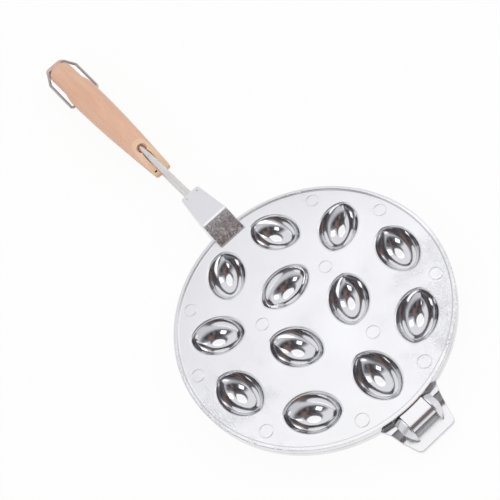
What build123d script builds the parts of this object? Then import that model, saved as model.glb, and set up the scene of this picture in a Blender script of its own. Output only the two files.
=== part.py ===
from build123d import *
import math
import os

# Hinged walnut cookie mould: two round cast aluminium plates, each with a cast lug, a steel
# rod and half of a wooden handle, joined by a hinge pin and held shut by a wire bail.
#
# All lengths are in millimetres.  The pieces are worked out in the mould's own frame: the
# middle of the round plates is x = y = 0, the parting plane between the plates is z = 0 and
# the handle points along +X.  placed() then moves every piece to the frame of the files,
# whose origin is under the middle of the whole object, on the surface that it stands on.

# --- round plates ---
PLATE_RADIUS = 100.0
RIM_HEIGHT = 5.0            # from the parting plane to the top of the raised lip
LIP_WIDTH = 3.0
LIP_HEIGHT = 1.5
PARTING_GAP = 0.3           # air between the two closed plates

# --- nut moulds ---
NUT_HALF_LENGTH = 20.0      # the hollow seen from outside, before its wall is added
NUT_ROUND_RADIUS = 16.0
NUT_KEEL_OFFSET = 2.0       # each flank is struck this far past the middle, which leaves a keel
NUT_CENTRE_RISE = 2.0       # height of the nut's axis over the outer face
PUNCH_WALL = 2.3
DOUGH_GAP = 2.7
CAVITY_WALL = 2.5
CROWN_FLAT = 0.4            # depth ground off the crowns that the mould stands on
# share of the plate's radius, angle from the handle, and turn of the long axis from the handle
INNER_NUTS = [(0.278, 0.0, 90.0), (0.278, 119.0, 30.0)]
OUTER_NUTS = [(0.72, 19.2, -28.0), (0.677, 58.7, 52.0), (0.742, 98.0, 10.0), (0.74, 140.4, 49.0)]
HINGE_NUT = (0.69, 180.0, 0.0)

# --- handle lugs ---
LUG_FOOT_INSET = 12.0       # the foot of the slanted face, inside the plate's edge
LUG_SLOPE_LENGTH = 20.0
LUG_TOP_LENGTH = 33.0
LUG_FOOT_WIDTH = 24.0
LUG_SHOULDER_WIDTH = 23.0
LUG_END_WIDTH = 17.0
LUG_HEIGHT = 13.0
LUG_CORNER_RADIUS = 2.5

# --- rods ---
ROD_DIAMETER = 5.0
ROD_HEIGHT = 6.5            # height of the rod's axis over the parting plane
ROD_SEAT_DEPTH = 25.0       # length held in the lug
ROD_GRIP_DEPTH = 80.0       # length held in the wood past the counterbore

# --- wooden grips ---
ROD_FREE_LENGTH = 43.5      # bare rod between the lug and the grip
GRIP_THICKNESS = 12.0
GRIP_SIDE_HEIGHT = 3.0      # upright part of the side, under the rounded top
GRIP_FRONT_WIDTH = 15.0
GRIP_MIDDLE_WIDTH = 22.4
GRIP_WIDEST = 24.8
GRIP_NECK_WIDTH = 20.2
UPPER_GRIP_LENGTH = 166.5
LOWER_GRIP_EXTRA = 14.0     # how far the lower grip runs on past the upper one's end
GRIP_MIDDLE_INSET = 93.0    # these stations are counted forwards from the upper grip's end
GRIP_WIDEST_INSET = 47.0
GRIP_SHOULDER_INSET = 36.0
GRIP_NECK_INSET = 29.0
GRIP_FRONT_CORNER = 2.4
GRIP_END_CORNER = 6.0
SCARF_LENGTH = 34.0         # length of the slanted face at the front of a grip
SCARF_FOOT_HEIGHT = 2.0
COUNTERBORE_DIAMETER = 8.4
COUNTERBORE_LENGTH = 32.0
NAIL_DIAMETER = 1.6
NAIL_HEAD_DIAMETER = 2.8
NAIL_HEAD_THICKNESS = 0.6
NAIL_FOOT_HEIGHT = 1.0      # from the parting plane to the brad's foot
NAIL_INSET = 3.4            # from the front of the grip
NAIL_SIDE = 4.6             # from the middle of the grip

# --- hinge ---
HINGE_OFFSET = 8.4          # from the plate's edge to the hinge's axis
HINGE_HEIGHT = -1.5
KNUCKLE_RADIUS = 4.5
KNUCKLE_WIDTH = 18.6
KNUCKLE_ROOT_INSET = 5.1    # how far its block reaches inside the plate's edge
KNUCKLE_SIDE_GAP = 0.3
KNUCKLE_ROUND_GAP = 0.4
PIN_DIAMETER = 4.0
PIN_RUNNING_GAP = 0.05
EAR_WIDTH = 5.4             # at the foot of the ear
EAR_TOP_WIDTH = 1.8
EAR_RADIUS = 5.4
EAR_TAIL_LENGTH = 8.6
TAB_ROOT_INSET = 8.0
TAB_ROOT_WIDTH = 56.0
TAB_NECK_OFFSET = 2.0       # these offsets are counted outwards from the plate's edge
TAB_NECK_WIDTH = 43.5
TAB_WAIST_OFFSET = 10.0
TAB_WAIST_WIDTH = 38.0
TAB_END_OFFSET = 23.3
TAB_END_WIDTH = 30.0
TAB_CORNER_RADIUS = 2.0
TAB_THICKNESS = 3.5
TAB_STEP_START_OFFSET = 4.0
TAB_STEP_END_OFFSET = 9.0
TAB_UPPER_LEVEL = -1.2
TAB_LOWER_LEVEL = -6.7

# --- wire bail ---
WIRE_DIAMETER = 2.5
BAIL_PIVOT_INSET = 39.0     # from the bail's axis to the upper grip's end
BAIL_PIVOT_HEIGHT = -5.5
BAIL_HALF_WIDTH = 14.8
BAIL_OVERREACH = 7.4        # from the upper grip's end to the middle of the cross bar
BAIL_CORNER_LENGTH = 12.4   # length along a leg of its slanted corner
BAIL_BAR_HALF_WIDTH = 8.8
BAIL_BEND_RADIUS = 2.6
BAIL_END_DEPTH = 6.0        # length of wire inside the wood
BAIL_HOLE_GAP = 0.08
BAIL_REST_GAP = 0.15        # air between the resting wire and the edge of the wood

# --- worked out from the sizes above ---
HALF_GAP = PARTING_GAP / 2
FACE_HEIGHT = RIM_HEIGHT - LIP_HEIGHT
NUT_CENTRE_HEIGHT = FACE_HEIGHT + NUT_CENTRE_RISE
BULGE_EXTRA = PUNCH_WALL + DOUGH_GAP + CAVITY_WALL
BULGE_DEPTH = math.sqrt((NUT_ROUND_RADIUS + BULGE_EXTRA) ** 2 - NUT_KEEL_OFFSET**2)
STANDING_Z = NUT_CENTRE_HEIGHT - BULGE_DEPTH + CROWN_FLAT
LUG_FOOT_X = PLATE_RADIUS - LUG_FOOT_INSET
LUG_SHOULDER_X = LUG_FOOT_X + LUG_SLOPE_LENGTH
LUG_END_X = LUG_SHOULDER_X + LUG_TOP_LENGTH
GRIP_FRONT_X = LUG_END_X + ROD_FREE_LENGTH
UPPER_GRIP_END_X = GRIP_FRONT_X + UPPER_GRIP_LENGTH
LOWER_GRIP_END_X = UPPER_GRIP_END_X + LOWER_GRIP_EXTRA
BAIL_PIVOT_X = UPPER_GRIP_END_X - BAIL_PIVOT_INSET
BAIL_LENGTH = BAIL_PIVOT_INSET + BAIL_OVERREACH
BAIL_LEG = BAIL_LENGTH - BAIL_CORNER_LENGTH
HINGE_X = -PLATE_RADIUS - HINGE_OFFSET
TAB_ROOT_X = -PLATE_RADIUS + TAB_ROOT_INSET
TAB_NECK_X = -PLATE_RADIUS - TAB_NECK_OFFSET
TAB_STEP_START_X = -PLATE_RADIUS - TAB_STEP_START_OFFSET
TAB_STEP_END_X = -PLATE_RADIUS - TAB_STEP_END_OFFSET
TAB_WAIST_X = -PLATE_RADIUS - TAB_WAIST_OFFSET
TAB_END_X = -PLATE_RADIUS - TAB_END_OFFSET
MIDDLE_X = (LOWER_GRIP_END_X + TAB_END_X) / 2
ROD_START_X = LUG_END_X - ROD_SEAT_DEPTH
ROD_END_X = GRIP_FRONT_X + COUNTERBORE_LENGTH + ROD_GRIP_DEPTH


def placed(piece):
    """Move a piece from the mould's own frame to the frame of the files."""
    return Pos(-MIDDLE_X, 0, -STANDING_Z) * piece


def flipped(piece):
    """Mirror a piece in the parting plane."""
    return mirror(piece, about=Plane.XY)


def bar_along_x(diameter, start_x, end_x, y=0.0, z=0.0):
    """Round bar along X between two stations."""
    length = end_x - start_x
    return Pos((start_x + end_x) / 2, y, z) * Rot(0, 90, 0) * Cylinder(diameter / 2, length)


def bar_along_y(diameter, x, z, start_y, end_y):
    """Round bar along Y between two stations."""
    length = end_y - start_y
    return Pos(x, (start_y + end_y) / 2, z) * Rot(90, 0, 0) * Cylinder(diameter / 2, length)


def slab(half_x, half_y, low_z, high_z):
    """Box around the Z axis between two heights."""
    return Pos(0, 0, (low_z + high_z) / 2) * Box(2 * half_x, 2 * half_y, high_z - low_z)


# --------------------------------------------------------------------------------------
# nuts
# --------------------------------------------------------------------------------------
def nut_places():
    """Every nut as (x, y, turn in degrees), mirrored in the handle's plane."""
    polar = [INNER_NUTS[0], HINGE_NUT]
    for share, angle, turn in INNER_NUTS[1:] + OUTER_NUTS:
        polar.append((share, angle, turn))
        polar.append((share, -angle, -turn))
    places = []
    for share, angle, turn in polar:
        x = share * PLATE_RADIUS * math.cos(math.radians(angle))
        y = share * PLATE_RADIUS * math.sin(math.radians(angle))
        places.append((x, y, turn))
    return places


def nut_body(extra):
    """A nut grown by `extra`: two spheroids set apart sideways, which meet in a keel."""
    reach = NUT_HALF_LENGTH + extra
    half = Ellipse(reach, NUT_ROUND_RADIUS + extra)
    half &= Pos(0, reach) * Rectangle(3 * reach, 2 * reach)
    spheroid = revolve(half, Axis.X)
    return Pos(0, NUT_KEEL_OFFSET, 0) * spheroid & Pos(0, -NUT_KEEL_OFFSET, 0) * spheroid


def nuts(extra, top_z=None, bottom_z=None):
    """The twelve nuts grown by `extra`, cut level at a top or a bottom."""
    body = Pos(0, 0, NUT_CENTRE_HEIGHT) * nut_body(extra)
    reach = PLATE_RADIUS
    if top_z is not None:
        body &= slab(reach, reach, -reach, top_z)
    if bottom_z is not None:
        body &= slab(reach, reach, bottom_z, reach)
    return [Pos(x, y, 0) * Rot(0, 0, turn) * body for x, y, turn in nut_places()]


# --------------------------------------------------------------------------------------
# plates
# --------------------------------------------------------------------------------------
def plate_disc():
    """The upper plate's round disc with its raised lip, over the parting plane."""
    disc = Pos(0, 0, HALF_GAP) * Cylinder(
        PLATE_RADIUS, RIM_HEIGHT - HALF_GAP, align=(Align.CENTER, Align.CENTER, Align.MIN)
    )
    recess = Pos(0, 0, FACE_HEIGHT) * Cylinder(
        PLATE_RADIUS - LIP_WIDTH, LIP_HEIGHT, align=(Align.CENTER, Align.CENTER, Align.MIN)
    )
    return disc - recess


def lug():
    """The upper plate's handle lug, with the slanted face that falls to the plate."""
    outline = Polyline(
        (LUG_FOOT_X, -LUG_FOOT_WIDTH / 2),
        (LUG_SHOULDER_X, -LUG_SHOULDER_WIDTH / 2),
        (LUG_END_X, -LUG_END_WIDTH / 2),
        (LUG_END_X, LUG_END_WIDTH / 2),
        (LUG_SHOULDER_X, LUG_SHOULDER_WIDTH / 2),
        (LUG_FOOT_X, LUG_FOOT_WIDTH / 2),
        close=True,
    )
    block = Pos(0, 0, HALF_GAP) * extrude(make_face(outline), LUG_HEIGHT - HALF_GAP)
    end_corners = block.edges().filter_by(Axis.Z).sort_by(Axis.X)[-2:]
    block = fillet(end_corners, LUG_CORNER_RADIUS)
    side = Polyline(
        (LUG_FOOT_X, FACE_HEIGHT),
        (LUG_SHOULDER_X, LUG_HEIGHT),
        (LUG_FOOT_X, LUG_HEIGHT),
        close=True,
    )
    wedge = extrude(Plane.XZ * make_face(side), LUG_FOOT_WIDTH, both=True)
    hole = bar_along_x(ROD_DIAMETER, ROD_START_X, LUG_END_X, z=ROD_HEIGHT)
    return block - wedge - hole


def knuckle():
    """The block on the upper plate that turns on the hinge pin."""
    top_z = HINGE_HEIGHT + KNUCKLE_RADIUS
    root_x = -PLATE_RADIUS + KNUCKLE_ROOT_INSET
    barrel = bar_along_y(
        2 * KNUCKLE_RADIUS, HINGE_X, HINGE_HEIGHT, -KNUCKLE_WIDTH / 2, KNUCKLE_WIDTH / 2
    )
    bridge = Pos((HINGE_X + root_x) / 2, 0, (top_z + HALF_GAP) / 2) * Box(
        root_x - HINGE_X, KNUCKLE_WIDTH, top_z - HALF_GAP
    )
    return barrel + bridge


def pin_hole(extra_radius, half_length):
    """Cutter for the hinge pin's hole."""
    diameter = PIN_DIAMETER + 2 * extra_radius
    return bar_along_y(diameter, HINGE_X, HINGE_HEIGHT, -half_length, half_length)


def upper_plate():
    """The punch plate: lip, lug, hinge knuckle and twelve hollow punches."""
    body = plate_disc() + lug() + knuckle()
    body = body.fuse(*nuts(PUNCH_WALL, top_z=FACE_HEIGHT))
    body = body.cut(*nuts(0.0))
    return body - pin_hole(PIN_RUNNING_GAP, KNUCKLE_WIDTH)


def tab_outline():
    """Plan of the tab that carries the hinge."""
    right = [
        (TAB_ROOT_X, -TAB_ROOT_WIDTH / 2),
        (TAB_NECK_X, -TAB_NECK_WIDTH / 2),
        (TAB_WAIST_X, -TAB_WAIST_WIDTH / 2),
        (TAB_END_X, -TAB_END_WIDTH / 2),
    ]
    left = [(x, -y) for x, y in reversed(right)]
    side = Spline(*right) + Line(right[-1], left[0]) + Spline(*left) + Line(left[-1], right[0])
    return make_face(side)


def hinge_tab():
    """The tab of the lower plate: a high root, a slanted step and a low flange."""
    profile = Polyline(
        (TAB_ROOT_X, TAB_UPPER_LEVEL),
        (TAB_STEP_START_X, TAB_UPPER_LEVEL),
        (TAB_STEP_END_X, TAB_LOWER_LEVEL),
        (TAB_END_X, TAB_LOWER_LEVEL),
        (TAB_END_X, TAB_LOWER_LEVEL - TAB_THICKNESS),
        (TAB_STEP_END_X, TAB_LOWER_LEVEL - TAB_THICKNESS),
        (TAB_STEP_START_X, -RIM_HEIGHT),
        (TAB_ROOT_X, -RIM_HEIGHT),
        close=True,
    )
    bent = extrude(Plane.XZ * make_face(profile), TAB_ROOT_WIDTH, both=True)
    plan = Pos(0, 0, -PLATE_RADIUS) * extrude(tab_outline(), 2 * PLATE_RADIUS)
    tab = bent & plan
    end_corners = tab.edges().filter_by(Axis.Z).sort_by(Axis.X)[:2]
    return fillet(end_corners, TAB_CORNER_RADIUS)


def ear_face(radius, tail, y):
    """Side view of an ear at one distance from the middle: a round eye with a low tail."""
    low = TAB_LOWER_LEVEL - TAB_THICKNESS / 2 - HINGE_HEIGHT
    plane = Plane(origin=(HINGE_X, y, HINGE_HEIGHT), x_dir=(-1, 0, 0), z_dir=(0, 1, 0))
    start = PolarLine((0, 0), radius, 180).position_at(1)
    top = (radius * math.cos(math.radians(75)), radius * math.sin(math.radians(75)))
    outline = (
        ThreePointArc(start, PolarLine((0, 0), radius, 130).position_at(1), top)
        + Line(top, (tail, TAB_LOWER_LEVEL - HINGE_HEIGHT))
        + Line((tail, TAB_LOWER_LEVEL - HINGE_HEIGHT), (tail, low))
        + Line((tail, low), (-radius, low))
        + Line((-radius, low), start)
    )
    return plane * make_face(outline)


def ear():
    """The ear on the +Y side: thick at the foot, thin at the top edge."""
    inner_y = KNUCKLE_WIDTH / 2 + KNUCKLE_SIDE_GAP
    shrink = EAR_RADIUS - PIN_DIAMETER / 2 - EAR_TOP_WIDTH / 2
    wall = loft(
        [
            ear_face(EAR_RADIUS, EAR_TAIL_LENGTH, inner_y),
            ear_face(EAR_RADIUS, EAR_TAIL_LENGTH, inner_y + EAR_TOP_WIDTH),
            ear_face(EAR_RADIUS - shrink, EAR_TAIL_LENGTH - shrink, inner_y + EAR_WIDTH),
        ],
        ruled=True,
    )
    return wall


def lower_plate():
    """The cavity plate: lip, lug, hinge tab with two ears and twelve nut cavities."""
    body = flipped(plate_disc() + lug()) + hinge_tab()
    body -= bar_along_y(
        2 * (KNUCKLE_RADIUS + KNUCKLE_ROUND_GAP),
        HINGE_X,
        HINGE_HEIGHT,
        -KNUCKLE_WIDTH / 2 - KNUCKLE_SIDE_GAP,
        KNUCKLE_WIDTH / 2 + KNUCKLE_SIDE_GAP,
    )
    body = body + ear() + mirror(ear(), about=Plane.XZ)
    bulges = nuts(BULGE_EXTRA, top_z=-HALF_GAP, bottom_z=STANDING_Z)
    body = body.fuse(*bulges)
    body = body.cut(*nuts(PUNCH_WALL + DOUGH_GAP))
    return body - pin_hole(0.0, TAB_ROOT_WIDTH)


# --------------------------------------------------------------------------------------
# handles
# --------------------------------------------------------------------------------------
def rod():
    """The upper plate's handle rod."""
    return bar_along_x(ROD_DIAMETER, ROD_START_X, ROD_END_X, z=ROD_HEIGHT)


def grip_section(x, width):
    """D-shaped section of a grip: flat below, upright sides and a round top."""
    half = width / 2
    plane = Plane(origin=(x, 0, 0), x_dir=(0, 1, 0), z_dir=(1, 0, 0))
    rise = GRIP_THICKNESS - GRIP_SIDE_HEIGHT
    dome = Pos(0, GRIP_SIDE_HEIGHT) * Ellipse(half, rise)
    dome &= Pos(0, GRIP_SIDE_HEIGHT + GRIP_THICKNESS) * Rectangle(
        2 * width, 2 * GRIP_THICKNESS
    )
    foot_height = GRIP_SIDE_HEIGHT - HALF_GAP
    foot = Pos(0, HALF_GAP + foot_height / 2) * Rectangle(width, foot_height)
    return plane * (dome + foot)


def front_corner():
    """Cutter that rounds the +Y front corner of a grip in plan."""
    radius = GRIP_FRONT_CORNER
    spread = (GRIP_MIDDLE_WIDTH - GRIP_FRONT_WIDTH) / (UPPER_GRIP_LENGTH - GRIP_MIDDLE_INSET)
    centre_y = (GRIP_FRONT_WIDTH + spread * radius) / 2 - radius
    square = Pos(-radius, radius) * Rectangle(2 * radius, 2 * radius)
    corner = extrude(square - Circle(radius), GRIP_THICKNESS)
    return Pos(GRIP_FRONT_X + radius, centre_y, 0) * corner


def grip(end_x):
    """Half of a wooden handle, over the parting plane, from the scarf to its end."""
    stations = [
        (GRIP_FRONT_X, GRIP_FRONT_WIDTH),
        (UPPER_GRIP_END_X - GRIP_MIDDLE_INSET, GRIP_MIDDLE_WIDTH),
        (UPPER_GRIP_END_X - GRIP_WIDEST_INSET, GRIP_WIDEST),
        (UPPER_GRIP_END_X - GRIP_SHOULDER_INSET, GRIP_WIDEST),
        (UPPER_GRIP_END_X - GRIP_NECK_INSET, GRIP_NECK_WIDTH),
        (end_x, GRIP_NECK_WIDTH),
    ]
    body = None
    for (x0, w0), (x1, w1) in zip(stations, stations[1:]):
        length = loft([grip_section(x0, w0), grip_section(x1, w1)], ruled=True)
        body = length if body is None else body + length
    middle_x = (GRIP_FRONT_X + end_x) / 2
    plan = Pos(middle_x, 0, 0) * Box(end_x - GRIP_FRONT_X, GRIP_WIDEST, 4 * GRIP_THICKNESS)
    plan = fillet(plan.edges().filter_by(Axis.Z), GRIP_END_CORNER)
    side = Polyline(
        (GRIP_FRONT_X, -GRIP_THICKNESS),
        (GRIP_FRONT_X, SCARF_FOOT_HEIGHT),
        (GRIP_FRONT_X + SCARF_LENGTH, GRIP_THICKNESS),
        (end_x, GRIP_THICKNESS),
        (end_x, -GRIP_THICKNESS),
        close=True,
    )
    side_block = extrude(Plane.XZ * make_face(side), GRIP_WIDEST, both=True)
    top_end = side_block.edges().filter_by(Axis.Y).group_by(Axis.X)[-1].sort_by(Axis.Z)[-1:]
    side_block = fillet(top_end, GRIP_END_CORNER)
    body = body & plan & side_block
    body -= front_corner()
    body -= mirror(front_corner(), about=Plane.XZ)
    body -= bar_along_x(ROD_DIAMETER, GRIP_FRONT_X, ROD_END_X, z=ROD_HEIGHT)
    body -= bar_along_x(
        COUNTERBORE_DIAMETER, GRIP_FRONT_X, GRIP_FRONT_X + COUNTERBORE_LENGTH, z=ROD_HEIGHT
    )
    return body


def scarf_height(inset):
    """Height of the slanted front face at a distance behind the grip's front."""
    return SCARF_FOOT_HEIGHT + inset * (GRIP_THICKNESS - SCARF_FOOT_HEIGHT) / SCARF_LENGTH


def nail():
    """Brad driven into the front of the upper grip, beside the rod."""
    top_z = scarf_height(NAIL_INSET)
    upright = (Align.CENTER, Align.CENTER, Align.MIN)
    foot = Pos(GRIP_FRONT_X + NAIL_INSET, NAIL_SIDE, NAIL_FOOT_HEIGHT)
    shank_length = top_z - NAIL_HEAD_THICKNESS - NAIL_FOOT_HEIGHT
    shank = Cylinder(NAIL_DIAMETER / 2, shank_length, align=upright)
    head = Cylinder(NAIL_HEAD_DIAMETER / 2, NAIL_HEAD_THICKNESS, align=upright)
    return foot * (shank + Pos(0, 0, shank_length) * head)


def upper_grip():
    """The upper, shorter half of the handle."""
    return grip(UPPER_GRIP_END_X) - nail()


def bail_hole(side):
    """Cutter for the hole that one end of the bail turns in."""
    inner_y = GRIP_WIDEST / 2 - BAIL_END_DEPTH - PARTING_GAP
    outer_y = GRIP_WIDEST
    start_y, end_y = sorted((side * inner_y, side * outer_y))
    diameter = WIRE_DIAMETER + 2 * BAIL_HOLE_GAP
    return bar_along_y(diameter, BAIL_PIVOT_X, BAIL_PIVOT_HEIGHT, start_y, end_y)


def lower_grip():
    """The lower, longer half of the handle, which carries the bail."""
    body = flipped(grip(LOWER_GRIP_END_X) - nail())
    return body - bail_hole(1) - bail_hole(-1)


def hinge_pin():
    """Pin through the knuckle and both ears, flush with the ears' outer faces."""
    half = KNUCKLE_WIDTH / 2 + KNUCKLE_SIDE_GAP + EAR_WIDTH
    return bar_along_y(PIN_DIAMETER, HINGE_X, HINGE_HEIGHT, -half, half)


def lock_bail():
    """Bent wire that swings on the lower grip and hooks over the end of the upper one."""
    end_y = GRIP_WIDEST / 2 - BAIL_END_DEPTH
    right = [
        (0, -end_y),
        (0, -BAIL_HALF_WIDTH),
        (BAIL_LEG, -BAIL_HALF_WIDTH),
        (BAIL_LENGTH, -BAIL_BAR_HALF_WIDTH),
    ]
    left = [(x, -y) for x, y in reversed(right)]
    path = FilletPolyline(*right, *left, radius=BAIL_BEND_RADIUS)
    start = Plane(origin=path @ 0, z_dir=path % 0)
    wire = sweep(start * Circle(WIRE_DIAMETER / 2), path=path)
    rest_z = WIRE_DIAMETER / 2 + BAIL_REST_GAP - HALF_GAP
    crossing_y = GRIP_NECK_WIDTH / 2 + WIRE_DIAMETER / 2
    slant = (BAIL_HALF_WIDTH - crossing_y) / (BAIL_HALF_WIDTH - BAIL_BAR_HALF_WIDTH)
    crossing = BAIL_LEG + slant * (BAIL_LENGTH - BAIL_LEG)
    tilt = math.degrees(math.asin((rest_z - BAIL_PIVOT_HEIGHT) / crossing))
    return Pos(BAIL_PIVOT_X, 0, BAIL_PIVOT_HEIGHT) * Rot(0, -tilt, 0) * wire


def pieces():
    """Every node of the mould by name."""
    return {
        "upper_plate": upper_plate(),
        "lower_plate": lower_plate(),
        "upper_rod": rod(),
        "lower_rod": flipped(rod()),
        "upper_grip": upper_grip(),
        "lower_grip": lower_grip(),
        "upper_grip_brad": nail(),
        "lower_grip_brad": flipped(nail()),
        "hinge_pin": hinge_pin(),
        "lock_bail": lock_bail(),
    }


os.makedirs("parts", exist_ok=True)
for node, solid in pieces().items():
    export_step(placed(solid), f"parts/{node}.step")
print(f"hinge axis: x {HINGE_X - MIDDLE_X:.4f}, z {HINGE_HEIGHT - STANDING_Z:.4f}")
print(f"bail axis: x {BAIL_PIVOT_X - MIDDLE_X:.4f}, z {BAIL_PIVOT_HEIGHT - STANDING_Z:.4f}")
print(f"plates: x {-MIDDLE_X:.4f}, parting plane z {-STANDING_Z:.4f}")
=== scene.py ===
import logging
import math
from dataclasses import dataclass, field
from enum import Enum
from typing import Callable, Iterable, Sequence

import bmesh
import bpy
from mathutils import Matrix, Vector


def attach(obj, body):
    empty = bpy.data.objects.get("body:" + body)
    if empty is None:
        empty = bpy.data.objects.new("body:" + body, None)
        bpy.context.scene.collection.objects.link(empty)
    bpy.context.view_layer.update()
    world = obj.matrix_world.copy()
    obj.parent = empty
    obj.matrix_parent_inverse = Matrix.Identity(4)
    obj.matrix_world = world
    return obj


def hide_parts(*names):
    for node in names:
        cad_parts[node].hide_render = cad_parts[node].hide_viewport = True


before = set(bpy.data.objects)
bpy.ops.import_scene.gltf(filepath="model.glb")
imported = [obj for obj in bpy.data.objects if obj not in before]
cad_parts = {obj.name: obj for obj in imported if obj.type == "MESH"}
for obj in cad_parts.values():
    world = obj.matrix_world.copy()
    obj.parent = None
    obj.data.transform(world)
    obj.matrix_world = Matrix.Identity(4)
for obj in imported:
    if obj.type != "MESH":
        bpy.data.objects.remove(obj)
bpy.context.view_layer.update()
LOG = logging.getLogger("walnut_mould")

# Pieces are shaped in millimetres in the mould's own frame: the middle of the round plates is
# x = y = 0, the parting plane between them is z = 0 and the handle points along +X.  seat()
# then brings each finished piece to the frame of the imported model, in metres.
MILLIMETRE = 0.001
MOULD_ORIGIN = Vector((-0.12085, 0.0, 0.0175147))
HALF_GAP = 0.15

Piece = bpy.types.Object
Value = bpy.types.NodeSocket
Point = Sequence[float]
Colour = tuple[float, float, float, float]
Profile = Sequence[tuple[float, float]]  # (radius, height) of each ring


# ---- bench tools ----
class Pick(Enum):
    """What a selection in edit mode is made of."""

    VERTS = "VERT"
    EDGES = "EDGE"
    FACES = "FACE"


class Join(Enum):
    """How a tool shape is combined with a piece."""

    ADD = "UNION"
    CUT = "DIFFERENCE"


class Plane(Enum):
    """A plane of symmetry, as the axes that are turned round in it."""

    PARTING = (False, False, True)
    HANDLE = (False, True, False)


def only(piece: Piece) -> None:
    """Make one object the only selected one, and the active one.

    Args:
        piece: The object.
    """
    bpy.ops.object.select_all(action="DESELECT")
    piece.select_set(True)
    bpy.context.view_layer.objects.active = piece


def edit(piece: Piece, everything: bool = False) -> None:
    """Open an object in edit mode.

    Args:
        piece: The object to shape.
        everything: Select all of it instead of nothing.
    """
    only(piece)
    bpy.ops.object.mode_set(mode="EDIT")
    bpy.ops.mesh.select_mode(type="VERT")
    bpy.ops.mesh.select_all(action="SELECT" if everything else "DESELECT")


def leave() -> None:
    """Close edit mode."""
    bpy.ops.object.mode_set(mode="OBJECT")


def settle(piece: Piece) -> Piece:
    """Put an object's place, turn and size into its mesh.

    Args:
        piece: The object.

    Returns:
        The same object, at the origin.
    """
    only(piece)
    bpy.ops.object.transform_apply(location=True, rotation=True, scale=True)
    return piece


def new_piece() -> Piece:
    """Take the primitive that was just added, with its place in its mesh."""
    return settle(bpy.context.object)


def pick(piece: Piece, kind: Pick, test: Callable[[Vector, Vector], bool]) -> None:
    """Select parts of the mesh that is open in edit mode.

    Args:
        piece: The object in edit mode.
        kind: What to select.
        test: Told the middle of each part, and its normal or, for an edge, its run.
    """
    bpy.ops.mesh.select_mode(type=kind.value)
    bpy.ops.mesh.select_all(action="DESELECT")
    mesh = bmesh.from_edit_mesh(piece.data)
    if kind is Pick.VERTS:
        found = [v for v in mesh.verts if test(v.co, v.normal)]
    elif kind is Pick.EDGES:
        ends = [(edge, *(v.co for v in edge.verts)) for edge in mesh.edges]
        found = [edge for edge, start, end in ends if test((start + end) / 2, end - start)]
    else:
        found = [f for f in mesh.faces if test(f.calc_center_median(), f.normal)]
    for part in found:
        part.select_set(True)
    mesh.select_flush_mode()
    bmesh.update_edit_mesh(piece.data)


def pick_open_edges(piece: Piece, level: float | None = None) -> None:
    """Select the edges that bound a hole, or only those at one height.

    Args:
        piece: The object in edit mode.
        level: The height of the edges to take, or None for every height.
    """
    bpy.ops.mesh.select_mode(type="EDGE")
    bpy.ops.mesh.select_all(action="DESELECT")
    mesh = bmesh.from_edit_mesh(piece.data)
    for edge in mesh.edges:
        if len(edge.link_faces) > 1:
            continue
        if level is None or all(abs(v.co.z - level) < 1e-3 for v in edge.verts):
            edge.select_set(True)
    bmesh.update_edit_mesh(piece.data)


def extrude(step: Point) -> None:
    """Extrude what is selected by a step."""
    bpy.ops.mesh.extrude_region_move(TRANSFORM_OT_translate={"value": step})


def stretch(factors: Point, centre: Point = (0, 0, 0)) -> None:
    """Scale what is selected by a factor along each axis, about a point."""
    bpy.ops.transform.resize(value=factors, center_override=centre)


def sweep_ring(profile: Profile, centre: Point = (0, 0, 0)) -> None:
    """Draw the selected ring of edges out into a turned face.

    Args:
        profile: The rings of the face, from the selected one on.
        centre: A point on its axis.
    """
    for (radius, height), (next_radius, next_height) in zip(profile, profile[1:]):
        extrude((0, 0, next_height - height))
        factor = next_radius / radius
        stretch((factor, factor, 1), centre)


def add_sections(stations: Iterable[float]) -> None:
    """Add a ring of edges to the open mesh at each of these places along X.

    Args:
        stations: The places.
    """
    for x in stations:
        bpy.ops.mesh.select_all(action="SELECT")
        bpy.ops.mesh.bisect(plane_co=(x, 0, 0), plane_no=(1, 0, 0))


def apply_modifier(piece: Piece, kind: str, **settings: object) -> None:
    """Add a modifier and apply it at once.

    Args:
        piece: The object.
        kind: The modifier's type.
        **settings: Its properties.
    """
    only(piece)
    modifier = piece.modifiers.new(kind.lower(), kind)
    for name, value in settings.items():
        setattr(modifier, name, value)
    bpy.ops.object.modifier_apply(modifier=modifier.name)


def combine(piece: Piece, tool: Piece, how: Join) -> None:
    """Combine a piece with a closed tool shape, and throw the tool away."""
    apply_modifier(piece, "BOOLEAN", operation=how.value, object=tool, solver="MANIFOLD")
    bpy.data.objects.remove(tool)


def join_meshes(pieces: Sequence[Piece]) -> Piece:
    """Join several objects into one.

    Args:
        pieces: The objects.

    Returns:
        The first of them, which holds them all.
    """
    bpy.ops.object.select_all(action="DESELECT")
    for piece in pieces:
        piece.select_set(True)
    bpy.context.view_layer.objects.active = pieces[0]
    bpy.ops.object.join()
    return pieces[0]


def copy_of(piece: Piece) -> Piece:
    """Copy an object together with its mesh.

    Args:
        piece: The object.

    Returns:
        The copy.
    """
    only(piece)
    bpy.ops.object.duplicate()
    return bpy.context.object


def weld(piece: Piece, distance: float = 0.002) -> None:
    """Merge double points and turn every face outwards.

    Args:
        piece: The object.
        distance: How near each other double points lie.
    """
    edit(piece, everything=True)
    bpy.ops.mesh.remove_doubles(threshold=distance)
    bpy.ops.mesh.normals_make_consistent(inside=False)
    leave()


def mirror(piece: Piece, plane: Plane) -> None:
    """Turn a closed piece into its mirror image.

    Args:
        piece: The piece.
        plane: The plane of symmetry.
    """
    edit(piece, everything=True)
    bpy.ops.transform.mirror(constraint_axis=plane.value, center_override=(0, 0, 0))
    leave()
    weld(piece)


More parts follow.
